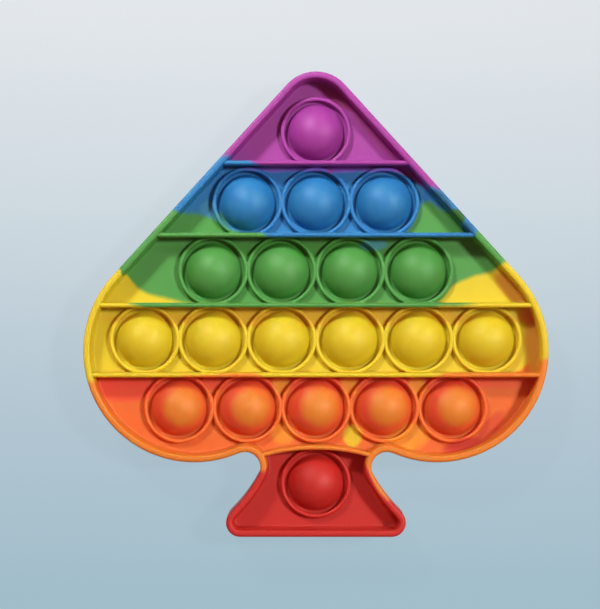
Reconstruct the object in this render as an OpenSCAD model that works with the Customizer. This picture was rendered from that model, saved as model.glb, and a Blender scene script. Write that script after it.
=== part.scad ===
// Bubble fidget toy in the outline of a playing-card spade, moulded in one piece from soft silicone.
// Millimetres. It lies on its back: bubbles point to +Z, the tip to +Y, and the origin is in the
// middle of the back face.

/* [Bubble grid] */
// Distance from one bubble to the next, along a row and from row to row
pitch = 20; // [19:0.5:22]
// Distance from the second row up to the bubble in the tip
tip_step = 20.5; // [20:0.1:23]
// Distance from the fifth row down to the bubble in the stem
stem_step = 21.9; // [21:0.1:24]

/* [Bubbles] */
// Outer radius of a bubble at its foot
bubble_r = 8.1; // [7.4:0.1:8.3]
// Wall of a bubble
bubble_wall = 0.9; // [0.6:0.1:1.4]
// How far the crowns stay below the front rim
crown_drop = 0.4; // [0.1:0.1:2]
// Fillet round the foot of a bubble
bubble_fillet = 0.35; // [0.1:0.05:0.5]
// Width of the thin hinge between a bubble and its ring
hinge_w = 1; // [0.8:0.05:1.2]
// Thickness of the hinge
hinge_t = 0.8; // [0.5:0.1:1]
// Width of the ring round a bubble
ring_w = 1.2; // [0.8:0.05:1.3]
// How far a ring stands above the web, on the front and on the back
ring_h = 2; // [1:0.1:4]

/* [Web, rim and ribs] */
// Thickness of the toy, over both rims
thick = 15; // [13:0.5:16]
// Thickness of the web that carries rings and ribs
web_t = 1.2; // [1:0.1:2]
// Width of the rim at its edge
rim_w = 2; // [1.6:0.1:2.6]
// How much wider the rim is at the web than at its edge
rim_draft = 0.4; // [0.2:0.1:1]
// Rounding of the rim's two edges
rim_round = 0.7; // [0.2:0.1:0.8]
// Fillet between rim and web
rim_fillet = 0.4; // [0.2:0.1:1]
// Width of a rib under its round top
rib_w = 1.3; // [1:0.1:1.4]
// How much wider a rib is at the web than at its top
rib_draft = 0.25; // [0.1:0.05:0.3]
// How far the ribs stay below the rim
rib_drop = 0.3; // [0.1:0.1:2]
// How far the top rib lies above the middle between its two rows
tip_rib_lift = 1.1; // [0.6:0.1:1.6]
// How far the second rib lies above the middle between its two rows
second_rib_lift = 0.4; // [0:0.1:0.8]
// How far the fourth rib lies below the middle between its two rows
fourth_rib_drop = 0.3; // [0:0.1:0.8]
// How far the arched rib lies below the middle between its two rows
arch_drop = 0.35; // [0:0.05:0.5]
// Radius of the arched rib over the stem
arch_r = 57; // [40:1:90]

/* [Outline] */
// Bare web between the widest row and the rim's edge
side_gap = 5.2; // [3:0.1:8]
// Radius of the two lobes
lobe_r = 32.3; // [28:0.1:36]
// How far the lobes' centres lie below the widest row
lobe_drop = 3.3; // [1:0.1:6]
// Radius of the tip
tip_r = 11.3; // [8:0.1:14]
// How far the tip's centre lies above its bubble
tip_rise = 6; // [5:0.1:9]
// Width of the neck between the two notches
neck_w = 32.2; // [30:0.2:36]
// Radius of the notches between lobes and stem
notch_r = 4.5; // [3:0.1:6]
// Radius of the stem's hollow flanks
flare_r = 45; // [30:1:80]
// Width of the stem's base
base_w = 52.2; // [46:0.2:58]
// Radius of the base's corners
base_corner_r = 4.1; // [3:0.1:6]
// Bare web between the stem's bubble and the rim's edge
base_gap = 3; // [2:0.1:6]

/* [Hidden] */
$fn = 96;

// Bubbles in each row and the colour of the silicone there, from the tip down
row_counts = [1, 3, 4, 6, 5, 1];
row_colours = ["mediumorchid", "steelblue", "mediumseagreen", "gold", "darkorange", "firebrick"];
last_row = len(row_counts) - 1;
widest = max(row_counts);

// Heights are counted from the web's middle, and rows from the rib between the third and fourth
half_t = thick / 2;
ring_in = bubble_r + hinge_w;
// A ring has a hair more than its width, so that two rings never just touch
ring_r = ring_w / 2 + 0.01;
ring_out = ring_in + 2 * ring_r;
row_y = [
    1.5 * pitch + tip_step,
    1.5 * pitch,
    0.5 * pitch,
    -0.5 * pitch,
    -1.5 * pitch,
    -1.5 * pitch - stem_step
];
function between_rows(row) = (row_y[row] + row_y[row + 1]) / 2;
rib_y = [
    between_rows(0) + tip_rib_lift,
    between_rows(1) + second_rib_lift,
    between_rows(2),
    between_rows(3) - fourth_rib_drop
];
arch_y = between_rows(4) - arch_drop;

// Circles that the outline is made of, on the right-hand side
half_w = (widest - 1) / 2 * pitch + ring_out + side_gap + rim_w;
tip = [0, row_y[0] + tip_rise];
lobe = [half_w - lobe_r, row_y[3] - lobe_drop];
base_y = row_y[last_row] - ring_out - base_gap - rim_w;
corner = [base_w / 2 - base_corner_r, base_y + base_corner_r];
notch_x = neck_w / 2 + notch_r;
notch = [notch_x, lobe.y - sqrt(pow(lobe_r + notch_r, 2) - pow(lobe.x - notch_x, 2))];
flare = meeting_point(notch, flare_r - notch_r, corner, flare_r + base_corner_r);
middle_y = (tip.y + tip_r + base_y) / 2;

// Directions, in degrees, in which one circle hands over to the next
side_a = angle_of(lobe - tip) + acos((tip_r - lobe_r) / norm(lobe - tip));
lobe_to_notch_a = angle_of(notch - lobe);
notch_to_flare_a = angle_of(notch - flare) + 360;
flare_to_corner_a = angle_of(corner - flare) + 360;

function angle_of(v) = atan2(v.y, v.x);
function on_circle(centre, r, a) = centre + r * [cos(a), sin(a)];

// The point that lies d1 from p1 and d2 from p2, on the left of the way from p1 to p2
function meeting_point(p1, d1, p2, d2) =
    let (gap = norm(p2 - p1), way = (p2 - p1) / gap)
    let (along = (d1 * d1 - d2 * d2 + gap * gap) / (2 * gap))
    p1 + along * way + sqrt(d1 * d1 - along * along) * [-way.y, way.x];

// Steps in the rounding of an edge, in a fillet, and in the round top of a rib or ring
round_steps = 3;
fillet_steps = 2;
top_steps = 4;

// Points along an arc, in a number of steps. The first one is left out if skip is 1.
function arc(centre, r, from, to, steps, skip = 0) =
    [for (i = [skip : steps]) on_circle(centre, r, from + (to - from) * i / steps)];

// Steps that keep the chords of an arc within a hair of it
chord_gap = 0.03;
function steps_for(r, from, to) = ceil(abs(to - from) / (2 * acos(1 - chord_gap / r)));

// Points along one arc of the outline drawn inset by d. The steps come from the true outline.
function bulging(centre, r, d, from, to, skip) =
    arc(centre, max(r - d, chord_gap), from, to, steps_for(r, from, to), skip);
function hollow(centre, r, d, from, to, skip) =
    arc(centre, r + d, from, to, steps_for(r, from, to), skip);

// The outline drawn inset by d, from the base's right corner up to the tip and back down
function half_outline(d) = concat(
    bulging(corner, base_corner_r, d, -90, flare_to_corner_a - 180, 0),
    hollow(flare, flare_r, d, flare_to_corner_a, notch_to_flare_a, 1),
    hollow(notch, notch_r, d, notch_to_flare_a, lobe_to_notch_a + 180, 1),
    bulging(lobe, lobe_r, d, lobe_to_notch_a, side_a, 1),
    bulging(tip, tip_r, d, side_a, 90, 0)
);
function outline(d) =
    let (half = half_outline(d))
    concat(half, [for (i = [len(half) - 2 : -1 : 0]) [-half[i].x, half[i].y]]);

// Section of the rim from its outer face at x = 0 inwards, front half and then back half.
// Its foot ends inside the web.
wall_top = half_t - rim_round;
wall_foot = web_t / 2;
function wall_x(z) = rim_w + rim_draft * (wall_top - z) / (wall_top - wall_foot);
wall_a = atan(rim_draft / (wall_top - wall_foot));
fillet_z = wall_foot + rim_fillet;
fillet_x = wall_x(fillet_z) + rim_fillet / cos(wall_a);
front_of_rim = concat(
    arc([rim_round, wall_top], rim_round, 180, 90, round_steps),
    arc([rim_w - rim_round, wall_top], rim_round, 90, 0, round_steps),
    arc([fillet_x, fillet_z], rim_fillet, 180 + wall_a, 270, fillet_steps)
);
rim_section = concat(
    front_of_rim,
    [for (i = [len(front_of_rim) - 1 : -1 : 0]) [front_of_rim[i].x, -front_of_rim[i].y]]
);

// The rim: its section carried round the outline
module rim() {
    loops = len(rim_section);
    size = len(outline(0));
    polyhedron(
        points = [for (p = rim_section) for (q = outline(p.x)) [q.x, q.y, p.y]],
        faces = [
            for (i = [0 : loops - 1]) for (j = [0 : size - 1])
                let (next_i = (i + 1) % loops, next_j = (j + 1) % size)
                [i * size + j, next_i * size + j, next_i * size + next_j, i * size + next_j]
        ]
    );
}

// Section of a rib, with a round top on the front and on the back
rib_r = rib_w / 2;
rib_top = half_t - rib_drop - rib_r;

module rib_section() {
    polygon(concat(
        [[rib_r + rib_draft / 2, 0]],
        arc([0, rib_top], rib_r, 0, 180, top_steps),
        [[-rib_r - rib_draft / 2, 0]],
        arc([0, -rib_top], rib_r, 180, 360, top_steps)
    ));
}

// Keeps what lies inside the rim and a little way into it
module inside_rim() {
    intersection() {
        children();
        linear_extrude(thick, center = true)
            polygon(outline(rim_w / 2));
    }
}

module straight_rib(y) {
    inside_rim()
        translate([-half_w, y, 0])
            rotate([90, 0, 90])
                linear_extrude(2 * half_w)
                    rib_section();
}

module arched_rib() {
    span_a = 2 * asin(neck_w / 2 / arch_r);
    inside_rim()
        translate([0, arch_y - arch_r, 0])
            rotate_extrude(angle = span_a, start = 90 - span_a / 2)
                translate([arch_r, 0])
                    rib_section();
}

// Section of a bubble from its axis out: dome, hinge and ring
crown_z = half_t - crown_drop;
hinge_z = hinge_t / 2;
dome_h = crown_z - hinge_z;
dome_r = (bubble_r * bubble_r + dome_h * dome_h) / (2 * dome_h);
dome_z = crown_z - dome_r;
foot_z = hinge_z + bubble_fillet;
foot_x = sqrt(pow(dome_r + bubble_fillet, 2) - pow(foot_z - dome_z, 2));

foot_a = angle_of([foot_x, foot_z] - [0, dome_z]);
ring_top = wall_foot + ring_h - ring_r;

module bubble_section() {
    difference() {
        union() {
            intersection() {
                translate([0, dome_z])
                    circle(dome_r);
                translate([0, -hinge_z])
                    square([dome_r, thick]);
            }
            polygon(concat(
                [[bubble_r - bubble_wall / 2, -hinge_z], [bubble_r - bubble_wall / 2, hinge_z]],
                arc([foot_x, foot_z], bubble_fillet, foot_a + 180, 270, fillet_steps),
                [[ring_in, hinge_z]],
                arc([ring_in + ring_r, ring_top], ring_r, 180, 0, top_steps),
                arc([ring_in + ring_r, -ring_top], ring_r, 0, -180, top_steps),
                [[ring_in, -hinge_z]]
            ));
        }
        translate([0, dome_z])
            circle(dome_r - bubble_wall);
    }
}

module bubble() {
    rotate_extrude()
        bubble_section();
}

function row_x(row) = [for (i = [0 : row_counts[row] - 1]) (i - (row_counts[row] - 1) / 2) * pitch];

module bubble_places(row) {
    for (x = row_x(row))
        translate([x, row_y[row]])
            children();
}

// The stretch of the toy that has one row's colour
row_edges = concat([tip.y + tip_r], rib_y, [arch_y, base_y]);

module row_band(row) {
    translate([-half_w, row_edges[row + 1]])
        square([2 * half_w, row_edges[row] - row_edges[row + 1]]);
}

// The web has a hole for each bubble, which ends under the bubble's ring
module web(row) {
    linear_extrude(web_t, center = true)
        difference() {
            intersection() {
                polygon(outline(rim_w / 2));
                row_band(row);
            }
            for (other = [0 : last_row])
                bubble_places(other)
                    circle(ring_in + ring_r);
        }
}

module silicone_body() {
    translate([0, -middle_y, half_t]) {
        for (row = [0 : last_row])
            color(row_colours[row]) {
                bubble_places(row)
                    bubble();
                web(row);
                if (row < len(rib_y))
                    straight_rib(rib_y[row]);
                if (row == len(rib_y))
                    arched_rib();
            }
        color("gold")
            rim();
    }
}

silicone_body();
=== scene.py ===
# Looks of the bubble fidget toy: rainbow silicone, seen from straight above on a pale floor.
# Lengths are in metres, and a value with MM in its name is in millimetres. The toy lies on its back
# with its tip to +Y, as the frame has it.

import math
from typing import NamedTuple
import bpy
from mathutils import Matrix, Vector


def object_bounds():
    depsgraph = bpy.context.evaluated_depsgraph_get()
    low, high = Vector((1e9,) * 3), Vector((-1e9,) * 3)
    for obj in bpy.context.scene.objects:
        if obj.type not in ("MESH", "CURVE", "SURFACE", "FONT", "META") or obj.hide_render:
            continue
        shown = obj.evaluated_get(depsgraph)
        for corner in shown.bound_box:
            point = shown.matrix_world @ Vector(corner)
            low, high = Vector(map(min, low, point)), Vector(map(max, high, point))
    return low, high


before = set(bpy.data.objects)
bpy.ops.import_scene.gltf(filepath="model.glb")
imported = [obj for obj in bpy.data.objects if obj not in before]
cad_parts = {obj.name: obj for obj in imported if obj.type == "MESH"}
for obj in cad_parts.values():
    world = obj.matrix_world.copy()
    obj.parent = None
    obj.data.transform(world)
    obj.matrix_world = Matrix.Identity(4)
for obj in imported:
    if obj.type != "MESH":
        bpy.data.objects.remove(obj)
cad_low, cad_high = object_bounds()

# Metres in a millimetre
MM = 0.001

# The photo's framing. One pitch of the bubble grid, on the object and in the photo, gives the size
# of a pixel at the height of the rings. The axis is the pixel that shows the toy's origin.
IMAGE_W, IMAGE_H = 600, 609
PITCH_MM = 20
PITCH_PX = 68.5
PIXEL_MM = PITCH_MM / PITCH_PX
RING_Z_MM = 10
AXIS_PX = (315.8, 304.15)
CAMERA_DISTANCE_MM = 640
SENSOR_MM = 36
CLIP_START_M, CLIP_END_M = 0.01, 20

# Colours of the silicone from the tip down, as linear light. Tangerine takes the place of orange on
# the tops of rim and ribs.
MAGENTA = (0.31, 0.037, 0.28)
BLUE = (0.018, 0.19, 0.43)
GREEN = (0.07, 0.295, 0.055)
YELLOW = (0.66, 0.53, 0.016)
ORANGE = (0.72, 0.15, 0.02)
TANGERINE = (0.7, 0.22, 0.018)
RED = (0.54, 0.022, 0.015)

# Colours of the stains, where one colour has run into another, and of painted shade, deeper colour
# put where shade falls under the ribs and along the right walls
SEA_BLUE = (0.05, 0.27, 0.42)
AMBER = (0.8, 0.33, 0.02)
# Painted shade: ochre for the yellow field's shaded right wall and the web beside it
PAINTED_SHADE_OCHRE = (0.6, 0.29, 0.02)
# Painted shade: crimson under the fourth rib, in the corner below the third rib by the right wall,
# and at the foot of the fifth row's bubbles
PAINTED_SHADE_CRIMSON = (0.82, 0.045, 0.04)
# Violet under the first rib: partly where magenta runs into blue, partly painted shade on the rib's
# shaded underside
VIOLET_RUN_AND_SHADE = (0.26, 0.06, 0.55)
# Painted shade: maroon for the shaded right wall of the magenta tip
PAINTED_SHADE_MAROON = (0.26, 0.012, 0.09)
# Painted shade: a lighter scarlet for the shaded right wall of the red stem
PAINTED_SHADE_SCARLET = (0.8, 0.05, 0.016)
# Painted shade: deep blue and green for the rim's top where it lies in shade on the right
PAINTED_SHADE_DEEP_BLUE = (0.012, 0.085, 0.17)
PAINTED_SHADE_DEEP_GREEN = (0.022, 0.12, 0.012)
# Painted shade: deeper blue, green and honey for the web under the first three ribs, where their
# shade falls
PAINTED_SHADE_BLUE = (0.004, 0.1, 0.33)
PAINTED_SHADE_GREEN = (0.03, 0.19, 0.008)
PAINTED_SHADE_HONEY = (0.68, 0.37, 0.012)


class Border(NamedTuple):
    """Where a colour begins, as points (x, y) in millimetres from left to right.

    The web, the sheet between the bubbles, has one border, and the crests, the tops of rim and
    ribs, have another. crest_colour is given where the crests take a colour of their own.
    """
    colour: tuple
    web: list
    crest: list
    crest_colour: tuple = None


class StainOrPaintedShading(NamedTuple):
    """A stain, painted shade or painted light as a soft ellipse: middle and half sizes in
    millimetres, turn in degrees, and where it lies.

    It lies on the web, on the crests or on both.
    """
    at: tuple
    half: tuple
    colour: tuple
    strength: float
    turn: float = 0
    on: str = "web"


BORDERS = [
    Border(
        BLUE,
        web=[(-70, 41.5), (-18, 41.3), (-14, 40.5), (-6, 40.3), (2, 39.8), (6, 39.3), (20, 40),
             (24, 38.5), (28, 36.5), (31, 34.8), (34, 33.4), (40, 32), (70, 32)],
        crest=[(-70, 43.5), (-26, 43), (-20.5, 42.4), (-18, 41), (-15, 39.6), (0, 39.4),
               (22, 39.4), (27, 38), (31, 35.5), (34.5, 33.6), (40, 32.3), (70, 32)],
    ),
    Border(
        GREEN,
        web=[(-70, 27.5), (-38, 26.8), (-34, 26.5), (-30, 25), (-27, 23), (-22, 21),
             (-15, 20.3), (24, 20.3), (26.8, 21.5), (28.8, 24), (30.2, 27.5), (31.5, 30),
             (33, 30.1), (36, 28.3), (40, 26.5), (43, 24), (50, 22), (70, 22)],
        crest=[(-70, 28), (-41.3, 27.3), (-36, 24), (-28, 22), (-17, 21.6), (-14.6, 20.2),
               (-12, 18.6), (0, 18.6), (45.5, 18.6), (46.3, 20.5), (48, 23), (70, 23)],
    ),
    Border(
        YELLOW,
        web=[(-70, 12), (-57, 11), (-55.2, 8.5), (-53, 5.8), (-49.8, 3.6), (-43.9, 1.5),
             (-36.6, 0.5), (-30, 0), (30, 0), (35.5, 0.2), (37.5, 2), (39.5, 4.5), (42.2, 6.5),
             (46.6, 8.2), (52.4, 10), (54.2, 12), (70, 13)],
        crest=[(-70, 10.5), (-57.5, 10.6), (-56.4, 9), (-55.4, 3), (-54.6, 0.3), (-52, -0.6),
               (-49.5, -1.3), (-46, -1.7), (0, -1.7), (33, -1.5), (36, -0.9), (46, 0),
               (48.5, 2.5), (51, 8), (55, 12), (70, 12.5)],
    ),
    Border(
        ORANGE,
        web=[(-70, -20.2), (55, -20.2), (60, -19.5), (62.5, -17), (64, -15), (70, -14)],
        crest=[(-70, -22.8), (-62, -22.1), (-40, -21.8), (-38, -20.7), (-29, -20.5),
               (-27, -19.9), (-18, -19.9), (-16, -20.7), (-14, -21.8), (33, -21.8), (36, -20.6),
               (39, -19.5), (60, -18.7), (63, -17), (70, -15.5)],
        crest_colour=TANGERINE,
    ),
    Border(
        RED,
        web=[(-70, -47), (-17, -46), (-15, -44), (0, -41.8), (15, -44), (17, -46), (19, -52),
             (24, -58), (70, -58)],
        crest=[(-70, -47), (-19, -47.5), (-15.5, -48.3), (-13.5, -46), (-11, -43.4), (0, -42.9),
               (11, -43.4), (14, -46), (16, -50), (18, -54), (22, -57), (70, -57)],
    ),
]

STAINS_AND_PAINTED_SHADING = [
    # Painted shade on the web under the first, second and third ribs
    StainOrPaintedShading((-4, 37.2), half=(26, 2.6), colour=PAINTED_SHADE_BLUE, strength=0.7),
    StainOrPaintedShading((0, 16.3), half=(44, 2.6), colour=PAINTED_SHADE_GREEN, strength=0.7),
    StainOrPaintedShading((0, -4.2), half=(62, 2.6), colour=PAINTED_SHADE_HONEY, strength=0.7),
    StainOrPaintedShading((-31.5, 28), half=(2.6, 2.2), turn=30, colour=SEA_BLUE, strength=0.8),
    StainOrPaintedShading((17, 17.3), half=(4, 1.6), colour=SEA_BLUE, strength=0.6),
    # Painted shade on the rim's shaded top at the right, where blue meets green
    StainOrPaintedShading((36.8, 29.6), half=(4.6, 1.7), turn=-53, colour=PAINTED_SHADE_DEEP_BLUE, strength=0.9, on="crest"),
    StainOrPaintedShading((41.1, 25.3), half=(2.6, 1.8), turn=-47, colour=PAINTED_SHADE_DEEP_GREEN, strength=1, on="crest"),
    StainOrPaintedShading((44.2, 22), half=(1.8, 1.4), turn=-47, colour=PAINTED_SHADE_DEEP_BLUE, strength=0.7, on="both"),
    StainOrPaintedShading((-27.7, 24.3), half=(3, 2), turn=-55, colour=GREEN, strength=0.5),
    # Violet under the first rib: partly magenta run into blue, partly painted shade
    StainOrPaintedShading((8, 39.6), half=(30, 1.1), colour=VIOLET_RUN_AND_SHADE, strength=0.6),
    # Painted shade along the magenta tip's right wall
    StainOrPaintedShading((6, 60.6), half=(6.5, 1.7), turn=-35, colour=PAINTED_SHADE_MAROON, strength=0.7),
    StainOrPaintedShading((18, 49.3), half=(11, 1.9), turn=-48, colour=PAINTED_SHADE_MAROON, strength=0.4),
    # Painted shade along the stem's right wall
    StainOrPaintedShading((18.8, -54), half=(10, 2.4), turn=-62, colour=PAINTED_SHADE_SCARLET, strength=0.85),
    StainOrPaintedShading((4.3, 38.9), half=(0.9, 1), colour=MAGENTA, strength=0.8),
    # Painted shade along the yellow field's right wall
    StainOrPaintedShading((57.6, 4.4), half=(7, 2.9), turn=-46, colour=PAINTED_SHADE_OCHRE, strength=1),
    StainOrPaintedShading((64.4, -9), half=(3.3, 12), colour=PAINTED_SHADE_OCHRE, strength=1),
    # Painted shade in the corner under the third rib by the right wall
    StainOrPaintedShading((62.8, -3), half=(3.6, 3.2), colour=PAINTED_SHADE_CRIMSON, strength=0.35),
    StainOrPaintedShading((10.7, -38.5), half=(2.8, 3.2), colour=YELLOW, strength=0.9),
    StainOrPaintedShading((-9.5, -38), half=(3.5, 3.2), colour=AMBER, strength=0.8),
    StainOrPaintedShading((26.8, -38.7), half=(6.2, 4.2), colour=AMBER, strength=0.85),
    StainOrPaintedShading((43, -41.2), half=(6, 2), turn=15, colour=RED, strength=0.85),
    StainOrPaintedShading((51, -36), half=(6, 2), turn=48, colour=RED, strength=0.6),
    # Painted shade: a crimson band on the web under the fourth rib
    StainOrPaintedShading((0, -23), half=(70, 2.2), colour=PAINTED_SHADE_CRIMSON, strength=0.5),
    StainOrPaintedShading((-10.2, -23.6), half=(2.6, 2.8), colour=AMBER, strength=0.8),
    StainOrPaintedShading((9.8, -23.6), half=(2.6, 2.8), colour=AMBER, strength=0.8),
    StainOrPaintedShading((29.7, -23.6), half=(2.6, 2.8), colour=AMBER, strength=0.8),
    # Painted shade under the left end of the fourth rib
    StainOrPaintedShading((-56, -25), half=(9, 3.5), colour=PAINTED_SHADE_CRIMSON, strength=0.6),
]

# Painted shade and light on the fifth row's bubbles: crimson at the foot stands in for their shade,
# and a tangerine crown, set a little to the right towards the main lamp, stands in for their lit
# side
for column in range(-2, 3):
    bubble_x = column * PITCH_MM
    STAINS_AND_PAINTED_SHADING += [
        StainOrPaintedShading((bubble_x, -30.3), half=(7.8, 7.8), colour=PAINTED_SHADE_CRIMSON, strength=0.8, on="both"),
        StainOrPaintedShading((bubble_x + 1.2, -29.9), half=(5.8, 5.8), colour=TANGERINE, strength=1, on="both"),
    ]

# The curves that hold the borders reach this far to each side of the origin, in x and in y
MAP_HALF_MM = 70

# Heights above the toy's mid-plane between which the web's borders give way to those of the crests
WEB_MM, CREST_MM = 2.2, 4.0

# A border's blur, and the size and height of its small waves
BORDER_BLUR_MM = 1.9
WAVE_SIZE_MM = 7
WAVE_DETAIL = 3
WAVE_HEIGHT_MM = 1.6

# A stain or a patch of painted shading begins at the first value and is full at the second. Each is
# the square of the distance from its middle, counted in half sizes.
MARK_BEGINS, MARK_FULL = 1.5, 0.4

# Two signs tell the rim's outer face from the rest. It is upright, so the z of its normal is small,
# and it faces away from the toy's axis, so it lies far from the axis counted along its normal.
SLOPING_Z, UPRIGHT_Z = 0.3, 0.15
INSIDE_MM, OUTSIDE_MM = 15, 25

# The silicone. Its gloss is tinted by its colour raised to a low power, and light travels further
# in it in the hue that it lets through.
ROUGHNESS = 0.56
SPECULAR_LEVEL = 0.8
TINT_POWER = 0.16
SUBSURFACE = 0.7
REACH_POWER = 1.5
REACH_MM = 3
LEAST_REACH_MM = 0.2
SOFT_EDGE_MM = 0.5
SOFT_EDGE_SAMPLES = 6

# The floor fades towards the stem's end through these tones, at shares of the fade's length. Seen
# directly it mostly glows, and the rest is lit and takes the toy's shadow.
FLOOR_SIZE_M = 6
FLOOR_FADE_MM = 180
FLOOR_TONES = [
    (0.03, (0.71, 0.75, 0.78)),
    (0.33, (0.60, 0.68, 0.73)),
    (0.66, (0.45, 0.57, 0.65)),
    (0.97, (0.36, 0.52, 0.60)),
]
FLOOR_GLOW = 0.92

# The world lights the toy with a warm fill, and past the floor's edge a view shows a pale backdrop
FILL = (1, 0.48, 0.46)
FILL_STRENGTH = 0.31
BACKDROP = (0.60, 0.68, 0.73)


def feed(tree, value, target):
    """Feeds a node's input from another node's output or from a plain value."""
    if isinstance(value, bpy.types.NodeSocket):
        tree.links.new(value, target)
    else:
        target.default_value = value


def math_node(tree, operation, *values):
    node = tree.nodes.new("ShaderNodeMath")
    node.operation = operation
    for value, target in zip(values, node.inputs):
        feed(tree, value, target)
    return node.outputs[0]


def vector_math(tree, operation, *values):
    node = tree.nodes.new("ShaderNodeVectorMath")
    node.operation = operation
    for value, target in zip(values, node.inputs):
        feed(tree, value, target)
    return node.outputs[0]


def smooth_step(tree, value, low, high):
    """0 at low and 1 at high, with a smooth rise between them."""
    node = tree.nodes.new("ShaderNodeMapRange")
    node.interpolation_type = "SMOOTHSTEP"
    feed(tree, value, node.inputs["Value"])
    feed(tree, low, node.inputs["From Min"])
    feed(tree, high, node.inputs["From Max"])
    return node.outputs["Result"]


def mix_colour(tree, share, a, b):
    """Colour a where the share is 0 and colour b where it is 1."""
    node = tree.nodes.new("ShaderNodeMix")
    node.data_type = "RGBA"
    feed(tree, share, node.inputs["Factor"])
    for value, target in ((a, node.inputs["A"]), (b, node.inputs["B"])):
        feed(tree, (*value, 1) if isinstance(value, tuple) else value, target)
    return node.outputs["Result"]


def mix_value(tree, share, a, b):
    """Number a where the share is 0 and number b where it is 1."""
    node = tree.nodes.new("ShaderNodeMix")
    node.data_type = "FLOAT"
    feed(tree, share, node.inputs["Factor"])
    feed(tree, a, node.inputs["A"])
    feed(tree, b, node.inputs["B"])
    return node.outputs["Result"]


def mix_shader(tree, share, a, b):
    """Shader a where the share is 0 and shader b where it is 1."""
    node = tree.nodes.new("ShaderNodeMixShader")
    for value, target in zip((share, a, b), node.inputs):
        feed(tree, value, target)
    return node.outputs[0]


def noise(tree, place, size_mm, detail):
    """Soft noise from 0 to 1 whose patches are about as wide as the size given."""
    node = tree.nodes.new("ShaderNodeTexNoise")
    feed(tree, place, node.inputs["Vector"])
    node.inputs["Scale"].default_value = 1 / size_mm
    node.inputs["Detail"].default_value = detail
    return node.outputs["Fac"]


def split(tree, vector):
    """The x, y and z of a vector."""
    node = tree.nodes.new("ShaderNodeSeparateXYZ")
    tree.links.new(vector, node.inputs[0])
    return tuple(node.outputs)


def place_in_mm(tree):
    """The point on an object in millimetres, from the origin of the frame."""
    place = tree.nodes.new("ShaderNodeTexCoord")
    scale = tree.nodes.new("ShaderNodeVectorMath")
    scale.operation = "SCALE"
    tree.links.new(place.outputs["Object"], scale.inputs[0])
    scale.inputs["Scale"].default_value = 1 / MM
    return scale.outputs[0]


def ray_share(tree, first_kind, *other_kinds):
    """1 for rays of the kinds given, by their Light Path names, and 0 for all others."""
    rays = tree.nodes.new("ShaderNodeLightPath")
    share = rays.outputs[first_kind]
    for kind in other_kinds:
        share = math_node(tree, "MAXIMUM", share, rays.outputs[kind])
    return share


def border_height(tree, x_share, points):
    """The y in millimetres of a border, as a smooth curve of x."""
    node = tree.nodes.new("ShaderNodeFloatCurve")
    curve = node.mapping.curves[0]
    to_share = [((x / MAP_HALF_MM + 1) / 2, (y / MAP_HALF_MM + 1) / 2) for x, y in points]
    for index, where in enumerate(to_share):
        if index < 2:
            curve.points[index].location = where
        else:
            curve.points.new(*where)
    for point in curve.points:
        point.handle_type = "AUTO_CLAMPED"
    node.mapping.update()
    tree.links.new(x_share, node.inputs["Value"])
    centred = math_node(tree, "SUBTRACT", node.outputs[0], 0.5)
    return math_node(tree, "MULTIPLY", centred, 2 * MAP_HALF_MM)


def outer_wall(tree, x, y):
    """1 on the rim's outer face, which takes the colours of the rim's top, and 0 inside the rim."""
    facing = tree.nodes.new("ShaderNodeTexCoord")
    facing_x, facing_y, facing_z = split(tree, facing.outputs["Normal"])
    slope = math_node(tree, "ABSOLUTE", facing_z)
    upright = smooth_step(tree, slope, SLOPING_Z, UPRIGHT_Z)
    outward_y = math_node(tree, "MULTIPLY", facing_y, y)
    outward = math_node(tree, "MULTIPLY_ADD", facing_x, x, outward_y)
    outside = smooth_step(tree, outward, INSIDE_MM, OUTSIDE_MM)
    return math_node(tree, "MULTIPLY", upright, outside)


def stain_or_painted_shading_share(tree, x, y, mark):
    """How much of a stain or of painted shading lies at a point: an ellipse that fades out round
    its middle.
    """
    turn = math.radians(mark.turn)
    half_along, half_across = mark.half
    dx = math_node(tree, "SUBTRACT", x, mark.at[0])
    dy = math_node(tree, "SUBTRACT", y, mark.at[1])
    along_y = math_node(tree, "MULTIPLY", dy, math.sin(turn) / half_along)
    along = math_node(tree, "MULTIPLY_ADD", dx, math.cos(turn) / half_along, along_y)
    across_y = math_node(tree, "MULTIPLY", dy, math.cos(turn) / half_across)
    across = math_node(tree, "MULTIPLY_ADD", dx, -math.sin(turn) / half_across, across_y)
    across_square = math_node(tree, "MULTIPLY", across, across)
    square = math_node(tree, "MULTIPLY_ADD", along, along, across_square)
    inside = smooth_step(tree, square, MARK_BEGINS, MARK_FULL)
    return math_node(tree, "MULTIPLY", inside, mark.strength)


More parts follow.
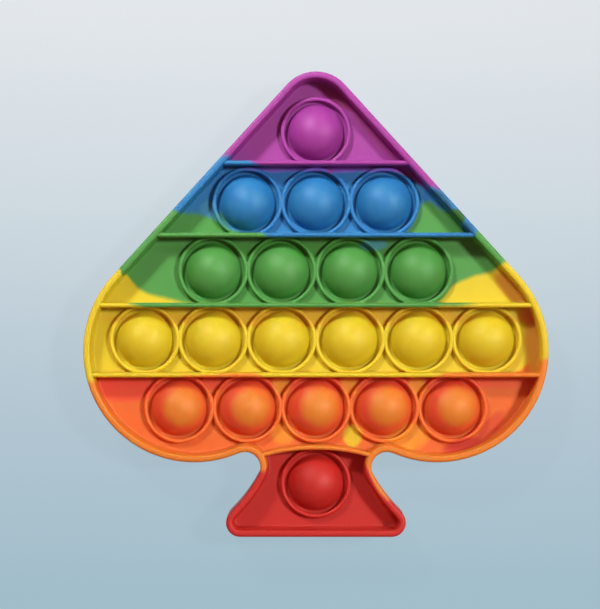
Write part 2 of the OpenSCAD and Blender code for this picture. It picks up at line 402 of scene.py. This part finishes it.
def colour_fields(tree):
    """The rainbow: each border in turn puts the next colour below itself, then come the stains and
    the painted shade and light.
    """
    place = place_in_mm(tree)
    x, y, z = split(tree, place)
    mid_z = (cad_low.z + cad_high.z) / 2 / MM
    height = math_node(tree, "ABSOLUTE", math_node(tree, "SUBTRACT", z, mid_z))
    crest = smooth_step(tree, height, WEB_MM, CREST_MM)
    crest = math_node(tree, "MAXIMUM", crest, outer_wall(tree, x, y))
    wave = math_node(tree, "SUBTRACT", noise(tree, place, WAVE_SIZE_MM, WAVE_DETAIL), 0.5)
    wavy_y = math_node(tree, "MULTIPLY_ADD", wave, WAVE_HEIGHT_MM, y)
    x_share = math_node(tree, "MULTIPLY_ADD", x, 1 / (2 * MAP_HALF_MM), 0.5)
    colour = MAGENTA
    for border in BORDERS:
        web_edge = border_height(tree, x_share, border.web)
        crest_edge = border_height(tree, x_share, border.crest)
        edge = mix_value(tree, crest, web_edge, crest_edge)
        below = math_node(tree, "SUBTRACT", edge, wavy_y)
        share = smooth_step(tree, below, -BORDER_BLUR_MM / 2, BORDER_BLUR_MM / 2)
        next_colour = border.colour
        if border.crest_colour:
            next_colour = mix_colour(tree, crest, next_colour, border.crest_colour)
        colour = mix_colour(tree, share, colour, next_colour)
    part_shares = {"web": math_node(tree, "SUBTRACT", 1.0, crest), "crest": crest}
    for mark in STAINS_AND_PAINTED_SHADING:
        share = stain_or_painted_shading_share(tree, x, wavy_y, mark)
        if mark.on != "both":
            share = math_node(tree, "MULTIPLY", share, part_shares[mark.on])
        colour = mix_colour(tree, share, colour, mark.colour)
    return colour


def raised(tree, colour, exponent):
    """A colour with each channel raised to a power: paler below 1, purer above it."""
    return vector_math(tree, "POWER", colour, (exponent, exponent, exponent))


def light_reach(tree, colour):
    """How many millimetres light travels in the silicone: far in the hue that it lets through."""
    hue = raised(tree, colour, REACH_POWER)
    least = (LEAST_REACH_MM, LEAST_REACH_MM, LEAST_REACH_MM)
    return vector_math(tree, "MULTIPLY_ADD", hue, (REACH_MM, REACH_MM, REACH_MM), least)


def silicone_material():
    """Matt, slightly translucent silicone in the rainbow's colours, with softened edges."""
    material = bpy.data.materials.new("rainbow_silicone")
    material.use_nodes = True
    tree = material.node_tree
    shader = tree.nodes["Principled BSDF"]
    colour = colour_fields(tree)
    tree.links.new(colour, shader.inputs["Base Color"])
    shader.inputs["Roughness"].default_value = ROUGHNESS
    shader.inputs["Specular IOR Level"].default_value = SPECULAR_LEVEL
    tree.links.new(raised(tree, colour, TINT_POWER), shader.inputs["Specular Tint"])
    shader.inputs["Subsurface Weight"].default_value = SUBSURFACE
    shader.inputs["Subsurface Scale"].default_value = MM
    tree.links.new(light_reach(tree, colour), shader.inputs["Subsurface Radius"])
    soft_edges = tree.nodes.new("ShaderNodeBevel")
    soft_edges.samples = SOFT_EDGE_SAMPLES
    soft_edges.inputs["Radius"].default_value = SOFT_EDGE_MM * MM
    tree.links.new(soft_edges.outputs[0], shader.inputs["Normal"])
    return material


def dress_toy():
    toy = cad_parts["silicone_body"]
    toy.data.materials.clear()
    toy.data.materials.append(silicone_material())


def floor_material():
    """A pale floor that fades from near white at the tip's end to blue grey at the stem's end."""
    material = bpy.data.materials.new("pale_floor")
    material.use_nodes = True
    tree = material.node_tree
    y = split(tree, place_in_mm(tree))[1]
    ramp = tree.nodes.new("ShaderNodeValToRGB")
    tree.links.new(math_node(tree, "MULTIPLY_ADD", y, -1 / FLOOR_FADE_MM, 0.5), ramp.inputs[0])
    stops = ramp.color_ramp.elements
    for index, (where, tone) in enumerate(FLOOR_TONES):
        stop = stops[index] if index < 2 else stops.new(where)
        stop.position = where
        stop.color = (*tone, 1)
    lit = tree.nodes.new("ShaderNodeBsdfDiffuse")
    glow = tree.nodes.new("ShaderNodeEmission")
    for node in (lit, glow):
        tree.links.new(ramp.outputs[0], node.inputs["Color"])
    seen = ray_share(tree, "Is Camera Ray", "Is Glossy Ray", "Is Transmission Ray")
    glow_share = math_node(tree, "MULTIPLY", seen, FLOOR_GLOW)
    surface = mix_shader(tree, glow_share, lit.outputs[0], glow.outputs[0])
    tree.links.new(surface, tree.nodes["Material Output"].inputs["Surface"])
    return material


def make_floor():
    bpy.ops.mesh.primitive_plane_add(size=FLOOR_SIZE_M)
    floor = bpy.context.object
    floor.name = "floor"
    floor.data.materials.append(floor_material())


def area_light(name, azimuth, elevation, distance, size, power, aim=(0, 0, 0), spread=180):
    """A square lamp seen from the toy at an azimuth, counted from +X towards +Y, and an elevation.

    Its beam points at aim, in metres, and fades out to the sides within its spread.
    """
    lamp = bpy.data.lights.new(name, "AREA")
    lamp.shape = "SQUARE"
    lamp.size = size
    lamp.energy = power
    lamp.spread = math.radians(spread)
    holder = bpy.data.objects.new(name, lamp)
    a, e = math.radians(azimuth), math.radians(elevation)
    way = Vector((math.cos(e) * math.cos(a), math.cos(e) * math.sin(a), math.sin(e)))
    holder.location = way * distance
    holder.rotation_mode = "QUATERNION"
    holder.rotation_quaternion = (Vector(aim) - holder.location).to_track_quat("-Z", "Y")
    bpy.context.scene.collection.objects.link(holder)


def light_scene():
    """The main lamp on the right, and a weak one with a narrow beam at the upper left."""
    area_light("key_right", azimuth=16, elevation=53, distance=2, size=0.26, power=28.5)
    area_light("key_left", azimuth=119, elevation=42, distance=0.9, size=0.12, power=0.86,
               aim=(-0.065, 0.25, 0), spread=42)


def make_world():
    world = bpy.data.worlds.new("studio")
    world.use_nodes = True
    tree = world.node_tree
    fill = tree.nodes["Background"]
    fill.inputs["Color"].default_value = (*FILL, 1)
    fill.inputs["Strength"].default_value = FILL_STRENGTH
    backdrop = tree.nodes.new("ShaderNodeBackground")
    backdrop.inputs["Color"].default_value = (*BACKDROP, 1)
    seen = ray_share(tree, "Is Camera Ray", "Is Transmission Ray")
    surface = mix_shader(tree, seen, fill.outputs[0], backdrop.outputs[0])
    tree.links.new(surface, tree.nodes["World Output"].inputs["Surface"])
    bpy.context.scene.world = world


def make_camera():
    """Straight above the middle of the photo, at the distance that gives its scale at the rings."""
    data = bpy.data.cameras.new("camera")
    data.sensor_width = SENSOR_MM
    data.lens = SENSOR_MM * CAMERA_DISTANCE_MM / (IMAGE_H * PIXEL_MM)
    data.clip_start, data.clip_end = CLIP_START_M, CLIP_END_M
    camera = bpy.data.objects.new("camera", data)
    x = (IMAGE_W / 2 - AXIS_PX[0]) * PIXEL_MM
    y = (AXIS_PX[1] - IMAGE_H / 2) * PIXEL_MM
    camera.location = Vector((x, y, CAMERA_DISTANCE_MM + RING_Z_MM)) * MM
    bpy.context.scene.collection.objects.link(camera)
    bpy.context.scene.camera = camera


dress_toy()
make_floor()
light_scene()
make_world()
make_camera()
bpy.context.scene.view_settings.view_transform = "Standard"
